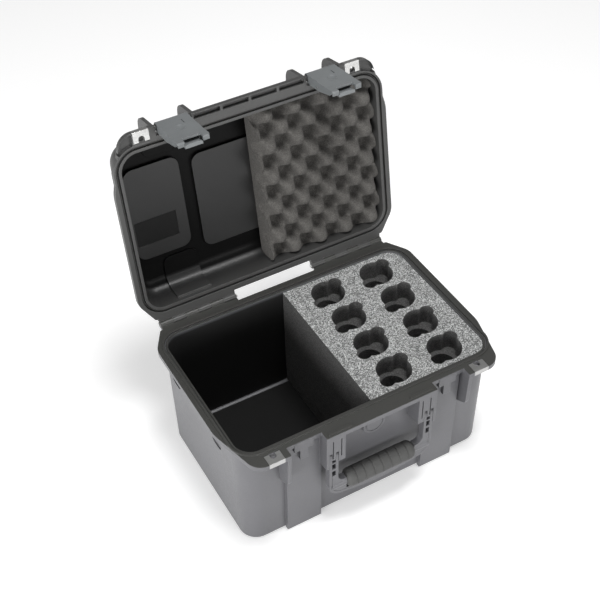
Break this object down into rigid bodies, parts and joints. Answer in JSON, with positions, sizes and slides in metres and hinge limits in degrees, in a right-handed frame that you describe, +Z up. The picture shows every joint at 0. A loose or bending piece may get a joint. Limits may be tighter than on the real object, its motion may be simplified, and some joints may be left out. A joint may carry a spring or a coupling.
{
  "type": "microphone case",
  "caption": "Watertight moulded case with a hinged lid, trigger latches, a swing handle and fitted foam for handheld microphones beside an open cable compartment.",
  "frame": {"origin": "middle of the floor's underside, under the middle of the inner opening", "axes": "+X to the right seen from the front, +Y to the hinges, +Z up"},
  "size_m": [0.4426, 0.4286, 0.5251],
  "materials": {
    "case": "moulded polypropylene with a fine spark-eroded grain",
    "lid": "moulded polypropylene with a fine spark-eroded grain, smoother inside",
    "latch": "moulded nylon, smooth",
    "seal": "extruded silicone cord",
    "grip": "soft overmoulded rubber",
    "steel": "pressed stainless sheet",
    "pin": "drawn stainless rod and wire",
    "valve": "moulded nylon",
    "block_foam": "closed-cell polyethylene foam, speckled",
    "lid_foam": "open-cell polyurethane foam"
  },
  "bodies": {
    "base": {"base_shell": "case", "base_hasp_left": "steel", "base_hasp_right": "steel", "hinge_pin_left": "pin", "hinge_pin_right": "pin", "handle_pin_left": "pin", "handle_pin_right": "pin", "pressure_valve": "valve", "valve_nut": "valve", "foam_head_layer": "block_foam", "foam_body_layer": "block_foam", "foam_foot_layer": "block_foam"},
    "lid": {"lid_shell": "lid", "lid_seal": "seal", "lid_foam": "lid_foam", "lid_hasp_left": "steel", "lid_hasp_right": "steel", "latch_pin_left": "pin", "latch_pin_right": "pin"},
    "latch_left": {"latch_left": "latch", "trigger_pin_left": "pin", "trigger_spring_left": "pin"},
    "latch_right": {"latch_right": "latch", "trigger_pin_right": "pin", "trigger_spring_right": "pin"},
    "trigger_left": {"trigger_left": "latch"},
    "trigger_right": {"trigger_right": "latch"},
    "handle": {"handle_frame": "case", "handle_grip": "grip"}
  },
  "joints": [
    {"name": "lid_hinge", "type": "hinge", "parent": "base", "child": "lid", "pos_m": [0, 0.1578, 0.2], "axis": [1, 0, 0], "range_deg": [0, 99.2]},
    {"name": "latch_left_pivot", "type": "hinge", "parent": "lid", "child": "latch_left", "pos_m": [-0.119, 0.21451, 0.50698], "axis": [-1, 0, 0], "range_deg": [-3.4, 100]},
    {"name": "trigger_left_pivot", "type": "hinge", "parent": "latch_left", "child": "trigger_left", "pos_m": [-0.119, 0.1844, 0.50817], "axis": [-1, 0, 0], "range_deg": [0, 8], "stiffness_Nm_per_rad": 0.03, "springref_deg": -17.19},
    {"name": "latch_right_pivot", "type": "hinge", "parent": "lid", "child": "latch_right", "pos_m": [0.119, 0.21451, 0.50698], "axis": [-1, 0, 0], "range_deg": [-3.4, 100]},
    {"name": "trigger_right_pivot", "type": "hinge", "parent": "latch_right", "child": "trigger_right", "pos_m": [0.119, 0.1844, 0.50817], "axis": [-1, 0, 0], "range_deg": [0, 8], "stiffness_Nm_per_rad": 0.03, "springref_deg": -17.19},
    {"name": "handle_pivot", "type": "hinge", "parent": "base", "child": "handle", "pos_m": [0, -0.1515, 0.1515], "axis": [-1, 0, 0], "range_deg": [0, 95]}
  ]
}
